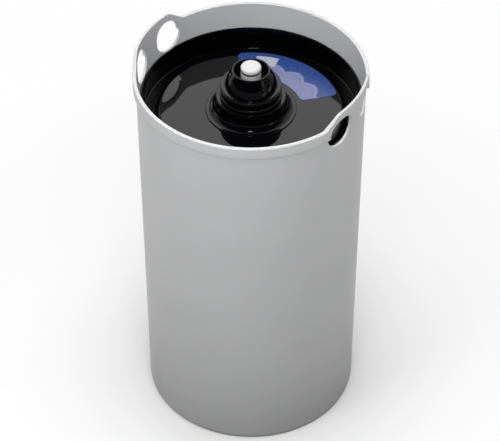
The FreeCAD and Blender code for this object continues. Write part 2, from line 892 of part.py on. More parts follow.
socket_top = floor_top + at.boss_height + 0.3
ring_of("strainer_cap", [
    (0, socket_top),
    (at.boss_radius + 0.2, socket_top),
    (at.boss_radius + 0.2, cap_low),
    (strainer_outer, cap_low),
    (strainer_outer, cap_top),
    (plug_outer, cap_top),
    (plug_outer, cap_top + at.cap_plug_height),
    (plug_outer - at.cap_plug_wall, cap_top + at.cap_plug_height),
    (plug_outer - at.cap_plug_wall, cap_top),
    (at.cap_dome_radius, cap_top),
    (at.cap_dome_radius, socket_top + 2),
    (0, socket_top + 2),
])

# Filter bed: two fillings between three fleeces, held down by a foam ring

strainer_clear = strainer_outer + at.bed_play
riser_clear = riser_outer + at.bed_play


def bed_outer(height):
    """Outer radius of a layer that lies loosely in the cup."""
    return wall_inner(height) - at.bed_play


def layer(name, low, high, inner):
    """A layer of the bed that follows the cup's draft."""
    return ring_of(name, [
        (inner, low),
        (bed_outer(low), low),
        (bed_outer(high), high),
        (inner, high),
    ])


fleece_low = floor_corner + at.layer_gap
fleece_high = fleece_low + at.fleece_thickness
carbon_low = fleece_high + at.layer_gap
carbon_high = carbon_low + at.carbon_height
middle_low = carbon_high + at.layer_gap
middle_high = middle_low + at.fleece_thickness
top_fleece_high = strainer_low - at.layer_gap
top_fleece_low = top_fleece_high - at.fleece_thickness
foam_high = gutter_under - at.bed_play
over_basket = basket_top + at.bed_play
layer("bottom_fleece", fleece_low, fleece_high, strainer_clear)
ring_of("carbon_bed", [
    (strainer_clear, carbon_low),
    (bed_outer(carbon_low), carbon_low),
    (bed_outer(carbon_high), carbon_high),
    (riser_clear, carbon_high),
    (riser_clear, over_basket),
    (strainer_clear, over_basket),
])
layer("middle_fleece", middle_low, middle_high, riser_clear)
layer("resin_bed", middle_high + at.layer_gap, top_fleece_low - at.layer_gap, riser_clear)
layer("top_fleece", top_fleece_low, top_fleece_high, riser_clear)
ring_of("compression_foam", [
    (strainer_clear, top_fleece_high + at.layer_gap),
    (bed_outer(top_fleece_high), top_fleece_high + at.layer_gap),
    (bed_outer(ledge_foot), ledge_foot - at.bed_play),
    (ledge_inner - at.bed_play, ledge_low - at.bed_play),
    (ledge_inner - at.bed_play, foam_high),
    (at.nut_radius + at.bed_play, foam_high),
    (at.nut_radius + at.bed_play, nut_bottom - at.bed_play),
    (strainer_clear, nut_bottom - at.bed_play),
])

# Label: a printed film on the plate, a bent strip with round corners

film = new_body("label_film")
film.Placement = Placement(Vector(), Rotation(Vector(0, 0, 1), at.film_start_angle.number))
film.setExpression("Placement.Rotation.Angle", at.film_start_angle.text)
film_top = plate_top + at.film_thickness
film_inner = at.flange_radius + at.film_flange_gap
film_outer = plate_flat_radius - at.film_edge_gap
strip = revolve(film, "film_strip", [
    (film_inner, plate_top),
    (film_outer, plate_top),
    (film_outer, film_top),
    (film_inner, film_top),
])
film_span = at.film_end_angle - at.film_start_angle
strip.Angle = film_span.number
strip.setExpression("Angle", film_span.text)
round_edges(film, "film_corners", at.film_corner, lambda middle, edge: (
    near(edge.Length, at.film_thickness.number)))

# Check every object, then write one file per sub-part

doc.recompute()
for item in doc.Objects:
    if "Invalid" in item.State or "Error" in item.State:
        raise RuntimeError("%s failed: %s" % (item.Label, item.State))
for node in NODES:
    shape = node.Shape
    if shape.isNull() or not shape.isValid() or len(shape.Solids) == 0:
        raise RuntimeError("no valid solid in " + node.Label)
os.makedirs("parts", exist_ok=True)
for node in NODES:
    node.Shape.exportStep("parts/%s.step" % node.Label)
    box = node.Shape.BoundBox
    print("%-18s solids %d volume %10.0f z %.2f to %.2f radius %.2f" % (
        node.Label, len(node.Shape.Solids), node.Shape.Volume, box.ZMin, box.ZMax, box.XMax))
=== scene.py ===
import math

import bmesh
import bpy
from mathutils import Matrix, Vector, noise


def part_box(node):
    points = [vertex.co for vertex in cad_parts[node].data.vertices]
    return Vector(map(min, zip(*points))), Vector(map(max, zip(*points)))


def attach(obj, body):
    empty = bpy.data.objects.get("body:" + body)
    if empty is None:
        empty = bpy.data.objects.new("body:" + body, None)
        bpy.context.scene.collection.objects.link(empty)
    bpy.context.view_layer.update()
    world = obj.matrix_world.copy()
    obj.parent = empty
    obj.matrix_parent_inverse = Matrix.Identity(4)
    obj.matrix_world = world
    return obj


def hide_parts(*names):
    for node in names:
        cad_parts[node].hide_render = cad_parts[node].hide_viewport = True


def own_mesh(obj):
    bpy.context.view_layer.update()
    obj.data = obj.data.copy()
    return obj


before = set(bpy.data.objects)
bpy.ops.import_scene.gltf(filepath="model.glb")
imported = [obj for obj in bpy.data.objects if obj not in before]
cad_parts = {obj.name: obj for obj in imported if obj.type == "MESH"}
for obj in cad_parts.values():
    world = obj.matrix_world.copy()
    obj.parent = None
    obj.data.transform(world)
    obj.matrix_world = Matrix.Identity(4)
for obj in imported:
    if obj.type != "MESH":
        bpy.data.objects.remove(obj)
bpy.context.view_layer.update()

# Cup. One injection moulding in pale grey plastic: a drafted wall on a foot ring, a thicker
# collar below the rim and two raised lugs. Side cores leave two finger holes in each lug.

cup_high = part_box("container_shell")[1]
lug_rise = 0.012
rim = cup_high.z - lug_rise
collar_radius = cup_high.y
collar_drop = 0.011
collar_low = rim - collar_drop
collar_overhang = 0.0027
base_setback = 0.0061
wall_top_radius = collar_radius - collar_overhang
base_radius = collar_radius - base_setback
taper = (wall_top_radius - base_radius) / collar_low
wall_thickness = 0.0026
mouth_depth = 0.025
mouth_flare = 0.0017
mouth_start = rim - mouth_depth
mouth_slope = taper + mouth_flare / mouth_depth
ledge_drop = 0.0581
ledge_width = 0.0022
ledge_height = 0.0035
foot_radius = 0.090
foot_recess = 0.003
floor_thickness = 0.004
boss_radius = 0.008
boss_height = 0.004
base_round = 0.004
collar_round = 0.0006
rim_round = 0.0008
rim_inner_round = 0.0006
rim_edge_depth = 0.0025
mouth_round = 0.002
floor_round = 0.002
edge_round = 0.0005
small_round = 0.0004
fine_round = 0.0003
lug_foot = 0.0448
lug_foot_round = 0.003
lug_shoulder = 0.0295
lug_shoulder_round = 0.014
hole_offset = 0.0249
hole_half_width = 0.0145
hole_rise = 0.0041
hole_drop = 0.0258
hole_corner = 0.0136
hole_flare = 0.0006
hole_flare_steps = 4
hole_core_reach = 0.004
cup_steps = 640
foot_ribs = 12
foot_rib_thickness = 0.002
foot_rib_gap = 0.0002
rib_overlap = 0.001


def rounded(corners, steps=6):
    """A closed outline. A corner is (across, up) or (across, up, radius of its round)."""
    points = []
    for index, corner in enumerate(corners):
        here = Vector(corner[:2])
        if len(corner) == 2:
            points.append(here)
            continue
        before = (Vector(corners[index - 1][:2]) - here).normalized()
        after = (Vector(corners[(index + 1) % len(corners)][:2]) - here).normalized()
        half = before.angle(after) / 2
        centre = here + (before + after).normalized() * corner[2] / math.sin(half)
        first = here + before * corner[2] / math.tan(half) - centre
        last = here + after * corner[2] / math.tan(half) - centre
        turn = math.atan2(first.cross(last), first.dot(last))
        for step in range(steps + 1):
            points.append(centre + Matrix.Rotation(turn * step / steps, 2) @ first)
    return points


def finished(name, mesh, crease=35):
    """A new object from a bmesh, smooth but for edges sharper than the crease angle."""
    data = bpy.data.meshes.new(name)
    mesh.to_mesh(data)
    mesh.free()
    data.shade_smooth()
    data.set_sharp_from_angle(angle=math.radians(crease))
    piece = bpy.data.objects.new(name, data)
    bpy.context.scene.collection.objects.link(piece)
    return piece


def turned(outline, steps):
    """A bmesh of an outline, as (radius, height), spun about the cartridge's axis."""
    mesh = bmesh.new()
    ring = [mesh.verts.new((max(point.x, 0), 0, point.y)) for point in outline]
    edges = []
    for index, vertex in enumerate(ring):
        if vertex.co.x > 0 or ring[index - 1].co.x > 0:
            edges.append(mesh.edges.new((ring[index - 1], vertex)))
    bmesh.ops.spin(
        mesh, geom=ring + edges, cent=(0, 0, 0), axis=(0, 0, 1), angle=math.tau,
        steps=steps, use_merge=True)
    bmesh.ops.remove_doubles(mesh, verts=mesh.verts, dist=1e-6)
    bmesh.ops.recalc_face_normals(mesh, faces=mesh.faces)
    return mesh


def carve(piece, tool, operation="DIFFERENCE", crease=35):
    """Cut a tool object out of a piece, or join it on, and drop the tool."""
    boolean = piece.modifiers.new("carve", "BOOLEAN")
    boolean.operation = operation
    boolean.solver = "EXACT"
    boolean.object = tool
    shape = piece.evaluated_get(bpy.context.evaluated_depsgraph_get())
    result = bpy.data.meshes.new_from_object(shape)
    piece.modifiers.clear()
    piece.data = result
    piece.data.name = piece.name
    result.set_sharp_from_angle(angle=math.radians(crease))
    bpy.data.objects.remove(tool)


def wall_outer(height):
    """Outer radius of the cup's drafted wall."""
    return base_radius + taper * height


def wall_inner(height):
    """Inner radius of the cup's drafted wall."""
    return wall_outer(height) - wall_thickness


def mouth_inner(height):
    """Inner radius of the flared mouth above the lid's seat."""
    return wall_inner(height) + mouth_flare * (height - mouth_start) / mouth_depth


lug_line = rounded([
    (collar_radius, 0),
    (lug_foot, 0, lug_foot_round),
    (lug_shoulder, lug_rise, lug_shoulder_round),
    (0, lug_rise),
], steps=16)


def lug_height(across):
    """Height of the rim's edge above the plain rim, at a distance from the lug's middle."""
    for outer, inner in zip(lug_line, lug_line[1:]):
        if inner.x <= across <= outer.x:
            share = (outer.x - across) / max(outer.x - inner.x, 1e-9)
            return outer.y + (inner.y - outer.y) * share
    return 0.0


ledge_top = rim - ledge_drop
ledge_inner = wall_inner(ledge_top) - ledge_width
ledge_foot = ledge_top - ledge_height - ledge_width
floor_top = foot_recess + floor_thickness
rim_base = rim - rim_edge_depth
cup_mesh = turned(rounded([
    (0, foot_recess),
    (foot_radius, foot_recess, edge_round),
    (foot_radius, 0, edge_round),
    (wall_outer(0), 0, base_round),
    (wall_outer(collar_low), collar_low, collar_round),
    (collar_radius, collar_low, collar_round),
    (collar_radius, rim_base),
    (collar_radius, rim, rim_round),
    (mouth_inner(rim), rim, rim_inner_round),
    (mouth_inner(rim_base), rim_base),
    (wall_inner(mouth_start), mouth_start, mouth_round),
    (wall_inner(ledge_top), ledge_top, small_round),
    (ledge_inner, ledge_top, fine_round),
    (ledge_inner, ledge_top - ledge_height, small_round),
    (wall_inner(ledge_foot), ledge_foot),
    (wall_inner(floor_top), floor_top, floor_round),
    (boss_radius, floor_top, small_round),
    (boss_radius, floor_top + boss_height, small_round),
    (0, floor_top + boss_height),
]), cup_steps)
rim_middle = (collar_radius + mouth_inner(rim)) / 2
for vertex in cup_mesh.verts:
    if vertex.co.z > rim_base - 1e-5:
        lift = lug_height(abs(vertex.co.y))
        outside = vertex.co.xy.length > rim_middle
        spread = 1 + (0 if outside else mouth_slope * lift) / vertex.co.xy.length
        vertex.co = (vertex.co.x * spread, vertex.co.y * spread, vertex.co.z + lift)
cup = finished("cup", cup_mesh)


def outer_face(height):
    """Radius of the cup's outer face, with its collar."""
    return collar_radius if height > collar_low else wall_outer(height)


def inner_face(height):
    """Radius of the cup's inner face, with its flared mouth."""
    return mouth_inner(height) if height > mouth_start else wall_inner(height)


def finger_hole_core(side, middle):
    """The core that leaves one finger hole, flared where it breaks through both faces."""
    depths = [(hole_core_reach, 1.0), (0.0, 1.0)]
    for step in range(1, hole_flare_steps + 1):
        angle = math.pi / 2 * step / hole_flare_steps
        depths.append((-hole_flare * math.sin(angle), 1 - math.sin(angle)))
    core = bmesh.new()
    loops = []
    for face, outward, order in ((outer_face, 1, depths), (inner_face, -1, depths[::-1])):
        for depth, share in order:
            grown = hole_flare * share
            left, right = middle - hole_half_width - grown, middle + hole_half_width + grown
            low, high = rim - hole_drop - grown, rim + hole_rise + grown
            corner = hole_corner + grown
            ring = []
            for point in rounded([(left, low, corner), (right, low, corner),
                                  (right, high, corner), (left, high, corner)], steps=14):
                radius = face(point.y) + outward * depth
                reach = math.sqrt(radius ** 2 - point.x ** 2)
                ring.append(core.verts.new((side * reach, point.x, point.y)))
            loops.append([core.edges.new((ring[index - 1], ring[index]))
                          for index in range(len(ring))])
    for first, second in zip(loops, loops[1:]):
        bmesh.ops.bridge_loops(core, edges=first + second)
    bmesh.ops.edgeloop_fill(core, edges=loops[0])
    bmesh.ops.edgeloop_fill(core, edges=loops[-1])
    bmesh.ops.recalc_face_normals(core, faces=core.faces)
    return finished("core", core)


for side in (-1, 1):
    for middle in (-hole_offset, hole_offset):
        carve(cup, finger_hole_core(side, middle))


def rib_star(count, start, end, low, high, thickness):
    """Straight radial ribs, evenly round the axis, as one tool mesh."""
    star = bmesh.new()
    for index in range(count):
        bmesh.ops.create_cube(star, size=1, matrix=(
            Matrix.Rotation(math.tau * index / count, 4, "Z")
            @ Matrix.Translation(((start + end) / 2, 0, (low + high) / 2))
            @ Matrix.Diagonal((end - start, thickness, high - low, 1))))
    return finished("ribs", star)


carve(cup, rib_star(
    foot_ribs, boss_radius, foot_radius + rib_overlap, foot_rib_gap,
    foot_recess + rib_overlap, foot_rib_thickness), "UNION")


def node_group(name, inputs, outputs):
    """A shader node group of plain numbers, as (group, its input node, its output node)."""
    group = bpy.data.node_groups.new(name, "ShaderNodeTree")
    for label in inputs:
        group.interface.new_socket(label, in_out="INPUT", socket_type="NodeSocketFloat")
    for label in outputs:
        group.interface.new_socket(label, in_out="OUTPUT", socket_type="NodeSocketFloat")
    return group, group.nodes.new("NodeGroupInput"), group.nodes.new("NodeGroupOutput")


def add(tree, kind, links=(), **settings):
    """A node with its settings, and its inputs filled from sockets or plain values."""
    node = tree.nodes.new("ShaderNode" + kind)
    for label, value in settings.items():
        setattr(node, label, value)
    for label, value in dict(links).items():
        if isinstance(value, bpy.types.NodeSocket):
            tree.links.new(value, node.inputs[label])
        else:
            node.inputs[label].default_value = value
    return node


def ranged(tree, value, low, high, start=0.0, end=1.0):
    """A value carried from the range start to end into the range low to high."""
    return add(tree, "MapRange", {
        "Value": value, "From Min": start, "From Max": end, "To Min": low,
        "To Max": high}).outputs["Result"]


def moulded_skin():
    """Group for moulded plastic: a fine grain, soft waves of flow and a few light scuffs."""
    group, start, end = node_group(
        "moulded_skin", ["Grain size", "Flow size"], ["Tone", "Wear", "Height"])
    place = add(group, "TexCoord").outputs["Object"]
    grain = add(group, "TexNoise", {
        "Vector": place, "Scale": start.outputs["Grain size"], "Detail": 2.0})
    flow = add(group, "TexNoise", {
        "Vector": place, "Scale": start.outputs["Flow size"], "Detail": 3.0})
    scuffs = add(group, "TexNoise", {
        "Vector": place, "Scale": 90.0, "Detail": 6.0, "Roughness": 0.7})
    scuffed = ranged(group, scuffs.outputs["Fac"], 1.0, 2.0, 0.52, 0.72)
    worn = add(group, "Math", {0: flow.outputs["Fac"], 1: scuffed}, operation="MULTIPLY")
    height = add(group, "Math", {
        0: flow.outputs["Fac"], 1: 4.0, 2: grain.outputs["Fac"]}, operation="MULTIPLY_ADD")
    group.links.new(flow.outputs["Fac"], end.inputs["Tone"])
    group.links.new(worn.outputs[0], end.inputs["Wear"])
    group.links.new(height.outputs[0], end.inputs["Height"])
    return group


skin_group = moulded_skin()


def new_material(name):
    """An empty material with its Principled BSDF, as (material, tree, shader)."""
    material = bpy.data.materials.new(name)
    material.use_nodes = True
    tree = material.node_tree
    tree.nodes.clear()
    shader = tree.nodes.new("ShaderNodeBsdfPrincipled")
    output = tree.nodes.new("ShaderNodeOutputMaterial")
    tree.links.new(shader.outputs["BSDF"], output.inputs["Surface"])
    return material, tree, shader


def blend(tree, mask, under, over):
    """A colour that goes from one to the other by a mask. A colour is a triple or a socket."""
    mix = add(tree, "Mix", {0: mask}, data_type="RGBA")
    for socket, colour in ((mix.inputs[6], under), (mix.inputs[7], over)):
        if isinstance(colour, tuple):
            socket.default_value = (*colour, 1)
        else:
            tree.links.new(colour, socket)
    return mix.outputs[2]


def relief(tree, shader, height, strength, depth):
    """Bump from a height, fed to the shader's normal."""
    bump = add(tree, "Bump", {"Height": height, "Strength": strength, "Distance": depth})
    tree.links.new(bump.outputs["Normal"], shader.inputs["Normal"])


def plastic(
        name, colour, shade, roughness, grain=2500.0, flow=14.0, strength=0.02, gloss=0.5):
    """Moulded plastic: a colour that drifts a little towards a shade of it."""
    material, tree, shader = new_material(name)
    skin = add(tree, "Group", {"Grain size": grain, "Flow size": flow}, node_tree=skin_group)
    tree.links.new(
        blend(tree, skin.outputs["Tone"], colour, shade), shader.inputs["Base Color"])
    tree.links.new(
        ranged(tree, skin.outputs["Wear"], *roughness, 0.3, 1.1), shader.inputs["Roughness"])
    relief(tree, shader, skin.outputs["Height"], strength, 0.0001)
    shader.inputs["Specular IOR Level"].default_value = gloss
    return material


def made_as(piece, node, body, material):
    """A new piece that stands for a CAD node, rides on a body and has a finish."""
    piece.data.materials.append(material)
    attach(piece, body)
    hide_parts(node)


cup_plastic = plastic(
    "cup_plastic", (0.70, 0.705, 0.715), (0.66, 0.665, 0.675), (0.40, 0.50), strength=0.12)
made_as(cup, "container_shell", "cartridge", cup_plastic)

# Lower strainer. A slotted basket in natural plastic that stands on its cap, and the cap sits
# over the boss in the cup's floor. Filtered water enters the riser through its slots.

strainer_plastic = plastic(
    "strainer_plastic", (0.70, 0.70, 0.67), (0.64, 0.64, 0.61), (0.38, 0.50),
    grain=1800.0, flow=40.0, strength=0.1)


def dress(node, material):
    """Give a CAD node that stays its finish."""
    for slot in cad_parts[node].material_slots:
        slot.material = material


dress("strainer_cap", strainer_plastic)
dress("lower_strainer", strainer_plastic)

# Riser. An extruded tube in natural plastic from the lower strainer up to the neck. The die
# leaves fine lines along it.


def die_lines():
    """Group for drawn stock: fine lines along the axis and a slow cloudy tone."""
    group, start, end = node_group("die_lines", ["Lines"], ["Tone", "Line"])
    place = add(group, "TexCoord").outputs["Object"]
    stretched = add(group, "Mapping", {"Vector": place, "Scale": (1.0, 1.0, 0.01)})
    streaks = add(group, "TexNoise", {
        "Vector": stretched.outputs["Vector"], "Scale": start.outputs["Lines"],
        "Detail": 3.0})
    cloudy = add(group, "TexNoise", {"Vector": place, "Scale": 30.0, "Detail": 2.0})
    group.links.new(cloudy.outputs["Fac"], end.inputs["Tone"])
    group.links.new(streaks.outputs["Fac"], end.inputs["Line"])
    return group


line_group = die_lines()


def drawn_along(name, colour, shade, roughness, lines, metallic=0.0):
    """A finish with fine lines along the axis, as a die leaves them."""
    material, tree, shader = new_material(name)
    drawn = add(tree, "Group", {"Lines": lines}, node_tree=line_group)
    tree.links.new(
        blend(tree, drawn.outputs["Tone"], colour, shade), shader.inputs["Base Color"])
    tree.links.new(
        ranged(tree, drawn.outputs["Line"], *roughness, 0.3, 0.7), shader.inputs["Roughness"])
    relief(tree, shader, drawn.outputs["Line"], 0.25, 0.00005)
    shader.inputs["Metallic"].default_value = metallic
    return material


dress("riser_tube", drawn_along(
    "riser_plastic", (0.74, 0.74, 0.71), (0.68, 0.68, 0.65), (0.28, 0.42), 2400.0))

# Filter bed. Activated carbon below and ion-exchange resin above lie loose between three
# fleeces of needled fibre, with the strainer and the riser in their middle.

bed_play = 0.0004
bed_round = 0.001
bed_steps = 120
bed_grid = 0.006
fleece_round = 0.0012


def packed(name, outline, steps, grid, lump, sway):
    """A soft or loose ring: faces about as fine as a grid, pushed inwards by uneven lumps."""
    mesh = turned(rounded(outline, steps=4), steps)
    edges_by_cuts = {}
    for edge in mesh.edges:
        first, second = edge.verts
        past_axis = first.co.xy.cross(second.co.xy) / max(edge.calc_length(), 1e-9)
        if abs(past_axis) < 1e-4:
            edges_by_cuts.setdefault(round(edge.calc_length() / grid), []).append(edge)
    for cuts, edges in edges_by_cuts.items():
        if cuts > 0:
            bmesh.ops.subdivide_edges(mesh, edges=edges, cuts=cuts, use_grid_fill=True)
    mesh.normal_update()
    for vertex in mesh.verts:
        push = sway * (0.5 + 0.5 * noise.noise(vertex.co / lump))
        vertex.co -= vertex.normal * max(push, 0.0)
    return finished(name, mesh, crease=60)


def loose_grains():
    """Group for loose grains: each one's tone and gloss, a mask for painted shade in the gaps,
    and the round crowns.
    """
    group, start, end = node_group(
        "loose_grains", ["Grains"], ["Tone", "Gloss", "Gap shade", "Crown"])
    cells = add(group, "TexVoronoi", {
        "Vector": add(group, "TexCoord").outputs["Object"], "Scale": start.outputs["Grains"]})
    own = add(group, "SeparateColor", {"Color": cells.outputs["Color"]})
    crown = add(group, "Math", {0: 1.0, 1: cells.outputs["Distance"]}, operation="SUBTRACT")
    group.links.new(own.outputs["Red"], end.inputs["Tone"])
    group.links.new(own.outputs["Green"], end.inputs["Gloss"])
    # Painted shade: this mask darkens the colour in the gaps between the grains.
    group.links.new(
        ranged(group, cells.outputs["Distance"], 0.0, 1.0, 0.4, 0.75), end.inputs["Gap shade"])
    group.links.new(crown.outputs[0], end.inputs["Crown"])
    return group


grain_group = loose_grains()


def granules(name, colour, shade, gap_shade, size, roughness):
    """Loose grains of one size, with two tones and painted shade, a dark colour, in the gaps.
    """
    material, tree, shader = new_material(name)
    grains = add(tree, "Group", {"Grains": 1 / size}, node_tree=grain_group)
    grain_colour = blend(tree, grains.outputs["Tone"], colour, shade)
    # Painted shade: the gaps between the grains take a dark colour in place of the shade that
    # falls there.
    tree.links.new(
        blend(tree, grains.outputs["Gap shade"], grain_colour, gap_shade), shader.inputs["Base Color"])
    tree.links.new(
        ranged(tree, grains.outputs["Gloss"], *roughness), shader.inputs["Roughness"])
    relief(tree, shader, grains.outputs["Crown"], 0.8, size * 0.6)
    return material


def felted():
    """Needled fibre: two layers of crossing hairs over a soft cloudy tone."""
    material, tree, shader = new_material("fleece_fibre")
    place = add(tree, "TexCoord").outputs["Object"]
    hairs = []
    for turn, stretch in (
            ((0.3, 0.2, 0.5), (1.0, 12.0, 12.0)), ((0.9, 0.4, 1.9), (12.0, 1.0, 12.0))):
        along = add(tree, "Mapping", {"Vector": place, "Rotation": turn, "Scale": stretch})
        layer = add(tree, "TexNoise", {
            "Vector": along.outputs["Vector"], "Scale": 260.0, "Detail": 4.0,
            "Distortion": 0.4})
        hairs.append(layer.outputs["Fac"])
    top_hair = add(tree, "Math", {0: hairs[0], 1: hairs[1]}, operation="MAXIMUM")
    tone = ranged(tree, top_hair.outputs[0], 0.0, 1.0, 0.45, 0.7)
    tree.links.new(
        blend(tree, tone, (0.52, 0.52, 0.49), (0.80, 0.80, 0.77)), shader.inputs["Base Color"])
    tree.links.new(
        ranged(tree, top_hair.outputs[0], 0.8, 0.98), shader.inputs["Roughness"])
    relief(tree, shader, top_hair.outputs[0], 0.7, 0.0004)
    shader.inputs["Sheen Weight"].default_value = 0.3
    return material


fleece_fibre = felted()


def fleece(node, inner):
    """One round fleece that fills its CAD node's place round the riser or the strainer."""
    low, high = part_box(node)
    outer = wall_inner(low.z) - bed_play
    piece = packed(node + "_felt", [
        (inner, low.z, fleece_round),
        (outer, low.z, fleece_round),
        (outer, high.z, fleece_round),
        (inner, high.z, fleece_round),
    ], bed_steps, bed_grid, lump=0.012, sway=0.0005)
    made_as(piece, node, "cartridge", fleece_fibre)


riser_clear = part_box("riser_tube")[1].x + bed_play
strainer_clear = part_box("lower_strainer")[1].x + bed_play
over_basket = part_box("lower_strainer")[1].z + bed_play
fleece("bottom_fleece", strainer_clear)

carbon_low, carbon_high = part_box("carbon_bed")
carbon = packed("carbon_fill", [
    (strainer_clear, carbon_low.z),
    (wall_inner(carbon_low.z) - bed_play, carbon_low.z, bed_round),
    (wall_inner(carbon_high.z) - bed_play, carbon_high.z, bed_round),
    (riser_clear, carbon_high.z),
    (riser_clear, over_basket),
    (strainer_clear, over_basket),
], bed_steps, bed_grid, lump=0.008, sway=0.0004)
# The third colour is painted shade in the gaps between the carbon grains.
made_as(carbon, "carbon_bed", "cartridge", granules(
    "carbon_grains", (0.010, 0.010, 0.011), (0.035, 0.035, 0.037), (0.002, 0.002, 0.002),
    size=0.0013, roughness=(0.35, 0.75)))
fleece("middle_fleece", riser_clear)

resin_low, resin_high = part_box("resin_bed")
resin = packed("resin_fill", [
    (riser_clear, resin_low.z),
    (wall_inner(resin_low.z) - bed_play, resin_low.z, bed_round),
    (wall_inner(resin_high.z) - bed_play, resin_high.z, bed_round),
    (riser_clear, resin_high.z),
], bed_steps, grid=0.008, lump=0.008, sway=0.0003)
# The third colour is painted shade in the gaps between the resin beads.
made_as(resin, "resin_bed", "cartridge", granules(
    "resin_beads", (0.42, 0.20, 0.045), (0.62, 0.36, 0.12), (0.10, 0.045, 0.012),
    size=0.0008, roughness=(0.15, 0.3)))
fleece("top_fleece", riser_clear)

# Foam ring. Open-cell foam squeezed under the lid round the upper strainer. It holds the bed
# down when the resin shrinks.

foam_low, foam_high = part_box("compression_foam")
nut_radius = 0.038
nut_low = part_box("neck_lock_nut")[0].z
foam_round = 0.003
foam = packed("foam_ring", [
    (strainer_clear, foam_low.z, foam_round),
    (wall_inner(foam_low.z) - bed_play, foam_low.z, foam_round),
    (wall_inner(ledge_foot) - bed_play, ledge_foot - bed_play, bed_round),
    (ledge_inner - bed_play, ledge_top - ledge_height - bed_play, bed_round),
    (ledge_inner - bed_play, foam_high.z, foam_round),
    (nut_radius + bed_play, foam_high.z, bed_round),
    (nut_radius + bed_play, nut_low - bed_play),
    (strainer_clear, nut_low - bed_play, bed_round),
], steps=144, grid=0.005, lump=0.010, sway=0.0006)


def open_foam():
    """Open cells of two sizes: pale struts, with painted shade as a near-black colour in the
    pores between them.
    """
    material, tree, shader = new_material("foam_cells")
    place = add(tree, "TexCoord").outputs["Object"]
    large = add(tree, "TexVoronoi", {"Vector": place, "Scale": 700.0})
    small = add(tree, "TexVoronoi", {"Vector": place, "Scale": 1700.0})
    struts = add(tree, "Math", {
        0: large.outputs["Distance"], 1: 0.7, 2: small.outputs["Distance"]},
        operation="MULTIPLY_ADD")
    strut = ranged(tree, struts.outputs[0], 0.0, 1.0, 0.35, 0.85)
    # Painted shade: the pores between the struts take a near-black colour.
    tree.links.new(
        blend(tree, strut, (0.006, 0.006, 0.006), (0.075, 0.075, 0.078)),
        shader.inputs["Base Color"])
    tree.links.new(ranged(tree, strut, 0.98, 0.8), shader.inputs["Roughness"])
    relief(tree, shader, struts.outputs[0], 0.8, 0.0006)
    return material


made_as(foam, "compression_foam", "cartridge", open_foam())

# Lid. A pan in polished black plastic, pushed into the cup on its seal: an upright wall, a
# gutter and a raised flat plate, stiffened from below by ribs.

skirt_low, lid_high = (corner.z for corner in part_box("lid_pan"))
lid_fit = 0.00015
lid_wall = 0.0016
lid_lip_round = 0.0007
gutter_top = rim - 0.04935
gutter_round = 0.0015
lid_floor = 0.0025
plate_top = rim - 0.0411
plate_radius = 0.087
plate_round = 0.005
plate_thickness = 0.003
plate_wall = 0.003
neck_hole = 0.0313
gasket_outer = 0.03855
gasket_inner = 0.03625
gasket_depth = 0.0017
underside_round = 0.001
tiny_round = 0.0002
lid_ribs = 12
lid_rib_depth = 0.006
lid_rib_thickness = 0.002
lid_rib_gap = 0.002


def lid_outer(height):
    """Outer radius of the lid's wall, which follows the cup's draft."""
    return wall_inner(height) - lid_fit


def lid_inner(height):
    """Inner radius of the lid's wall."""
    return lid_outer(height) - lid_wall


gutter_low = gutter_top - lid_floor
plate_low = plate_top - plate_thickness
skirt_inner = lid_inner(gutter_low)
lid_mesh = turned(rounded([
    (skirt_inner, skirt_low, fine_round),
    (lid_outer(skirt_low), skirt_low, edge_round),
    (lid_outer(lid_high), lid_high, fine_round),
    (lid_inner(lid_high), lid_high, lid_lip_round),
    (lid_inner(gutter_top), gutter_top, gutter_round),
    (plate_radius, gutter_top, gutter_round),
    (plate_radius, plate_top, plate_round),
    (gasket_outer, plate_top),
    (gasket_outer, plate_top - gasket_depth),
    (gasket_inner, plate_top - gasket_depth),
    (gasket_inner, plate_top),
    (neck_hole, plate_top, tiny_round),
    (neck_hole, plate_low),
    (plate_radius - plate_wall, plate_low, underside_round),
    (plate_radius - plate_wall, gutter_low, underside_round),
    (skirt_inner, gutter_low, edge_round),
], steps=10), 400)
lid = finished("lid", lid_mesh)
carve(lid, rib_star(
    lid_ribs, nut_radius + lid_rib_gap, plate_radius - plate_wall + rib_overlap,
    plate_low - lid_rib_depth, plate_low + rib_overlap, lid_rib_thickness), "UNION")
lid_plastic = plastic(
    "lid_plastic", (0.0012, 0.0013, 0.0018), (0.0018, 0.0019, 0.0025), (0.03, 0.07),
    strength=0.006, gloss=0.3)
made_as(lid, "lid_pan", "cartridge", lid_plastic)

# Upper strainer. A slotted basket like the lower one, hung on the neck's shank under the lid.
# It spreads the raw water over the bed.

dress("upper_strainer", strainer_plastic)

# Neck. A polished black moulding that plugs into the vessel's head: a nose round the white
# pin, a cone, two ledges with a seal each, a cove and a flange that sits on the plate.

neck_low, neck_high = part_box("neck_spigot")
flange_radius = neck_high.x
nose_top = neck_high.z
shank_low = neck_low.z
shank_radius = 0.031
flange_top = plate_top + 0.001
flange_round = 0.0006
register_radius = 0.0318
cove_round = 0.008
lower_ledge = rim - 0.0249
lower_ledge_round = 0.0007
upper_ledge = rim - 0.0126
upper_groove = upper_ledge - 0.001
land_radius = 0.0275
groove_radius = 0.0253
groove_height = 0.003
nose_radius = 0.0172
nose_bore = 0.0156
nose_round = 0.0009
bore_foot = rim - 0.0066
cone_radius = 0.024
cone_bulge = 0.0008
cone_inner = 0.020
guide_seat = rim - 0.0146
neck_inner = 0.023
neck_inner_round = 0.001
shank_inner = 0.0282
shank_step = rim - 0.0286


def bulged(start, end, bulge, steps=10):
    """Points of a shallow outward arc between two points, without its ends."""
    points = []
    side = Vector((end.y - start.y, start.x - end.x)).normalized()
    for step in range(1, steps):
        share = step / steps
        points.append(start.lerp(end, share) + side * bulge * 4 * share * (1 - share))
    return [(point.x, point.y) for point in points]


